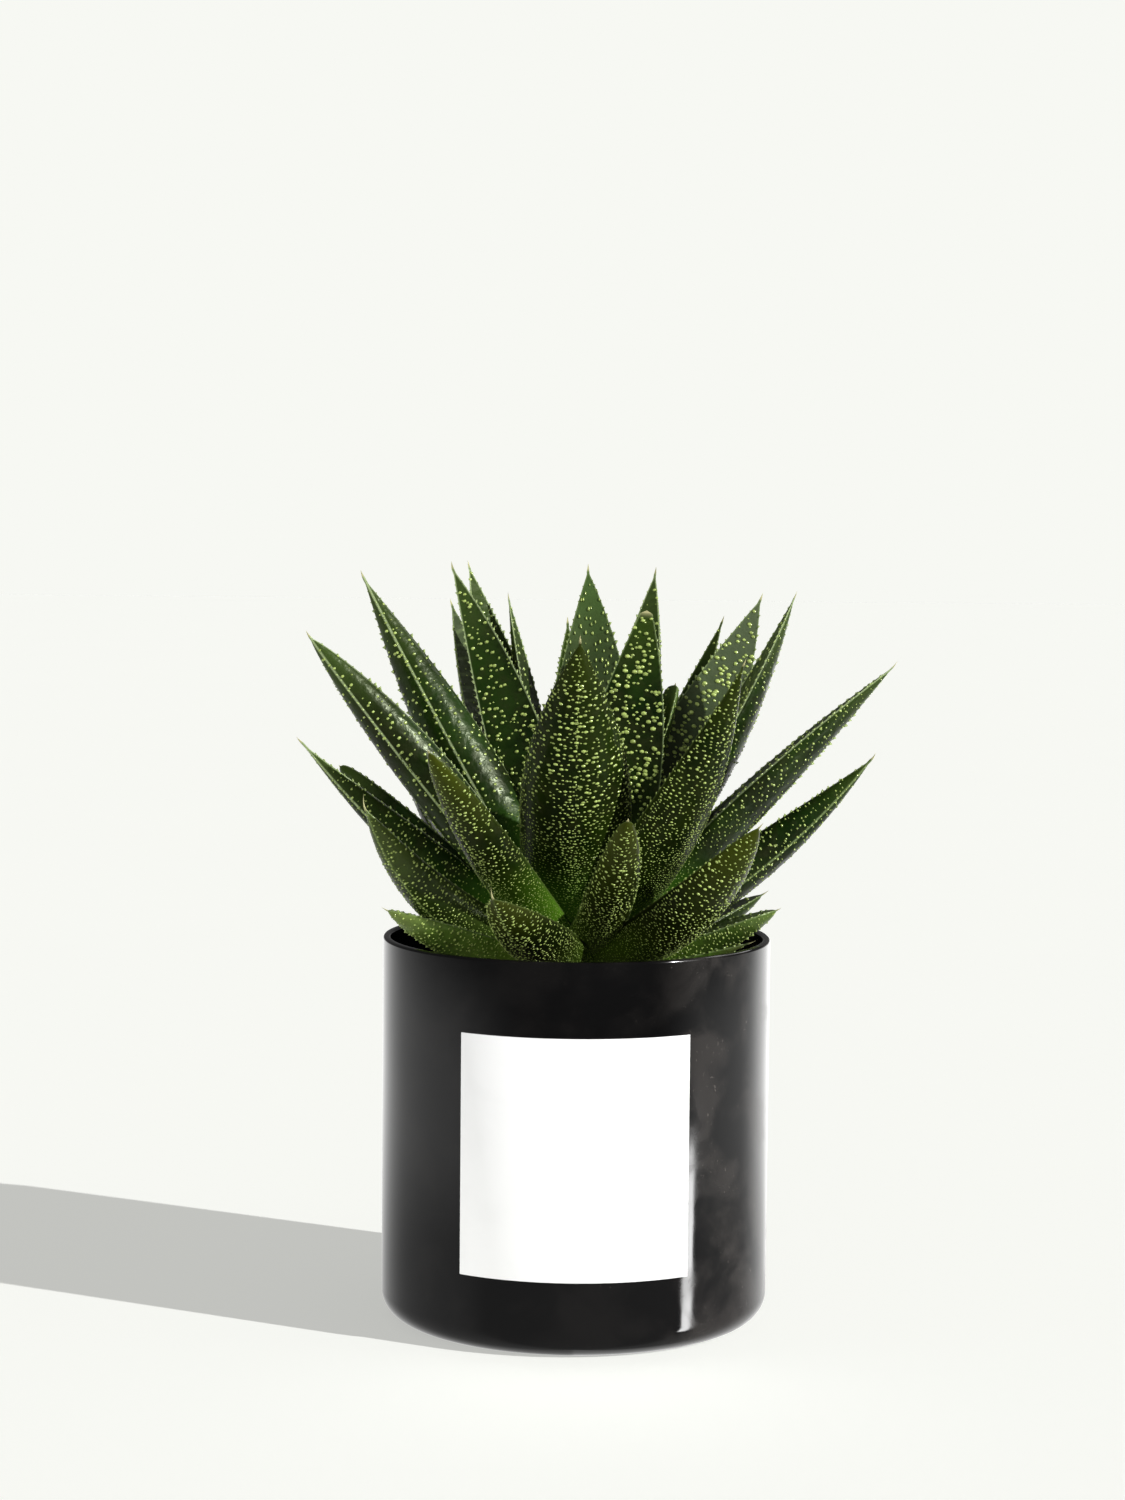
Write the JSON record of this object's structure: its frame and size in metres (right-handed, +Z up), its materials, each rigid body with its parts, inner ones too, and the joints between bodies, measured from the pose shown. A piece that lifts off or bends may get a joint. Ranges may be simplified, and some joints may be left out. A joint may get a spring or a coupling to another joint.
{
  "type": "potted gasteria",
  "caption": "Warty, bristle-tipped gasteria rosette with thick keeled leaves, growing in a straight glossy black pot with a bare white label.",
  "frame": {"origin": "centre of the pot's flat underside", "axes": "+Z up the pot's axis, -Y towards the front, which carries the label, +X to the right seen from the front"},
  "size_m": [0.1385, 0.1093, 0.1752],
  "materials": {
    "leaf_green": "satin",
    "leaf_bronze": "satin",
    "leaf_pale": "satin",
    "stem": "matte",
    "pot": "gloss",
    "label": "matte",
    "soil": "matte"
  },
  "bodies": {
    "root": {"pot": "pot", "label": "label", "soil": "soil", "stem": "stem", "leaf_front_tall": "leaf_bronze", "leaf_front_short": "leaf_bronze", "leaf_front_low": "leaf_bronze", "leaf_front_left": "leaf_bronze", "leaf_front_right": "leaf_bronze", "leaf_front_right_low": "leaf_bronze", "leaf_left_low": "leaf_green", "leaf_left_middle": "leaf_bronze", "leaf_left_spread": "leaf_green", "leaf_left_shaded": "leaf_green", "leaf_left_high": "leaf_green", "leaf_left_tall": "leaf_green", "leaf_right_inside": "leaf_pale", "leaf_right_low": "leaf_green", "leaf_right_low_rear": "leaf_green", "leaf_right_spread": "leaf_green", "leaf_right_high": "leaf_green", "leaf_right_tall": "leaf_green", "leaf_rear_right_broad": "leaf_green", "leaf_rear_right_thin": "leaf_green", "leaf_rear_blunt": "leaf_green", "leaf_rear_broken": "leaf_green", "leaf_rear_edge": "leaf_green", "leaf_rear_tall": "leaf_green", "leaf_rear_far": "leaf_green", "leaf_rear_narrow": "leaf_green", "leaf_rear_left_broad": "leaf_green", "leaf_rear_left_high": "leaf_green", "leaf_rear_left_banded": "leaf_green", "leaf_far_left": "leaf_green", "leaf_far_middle": "leaf_bronze", "leaf_far_right": "leaf_green", "leaf_far_side": "leaf_green", "leaf_far_low_left": "leaf_green", "leaf_far_low_middle": "leaf_bronze", "leaf_far_low_right": "leaf_green", "leaf_heart_left": "leaf_green", "leaf_heart_right": "leaf_green", "leaf_heart_middle": "leaf_pale"}
  },
  "joints": []
}
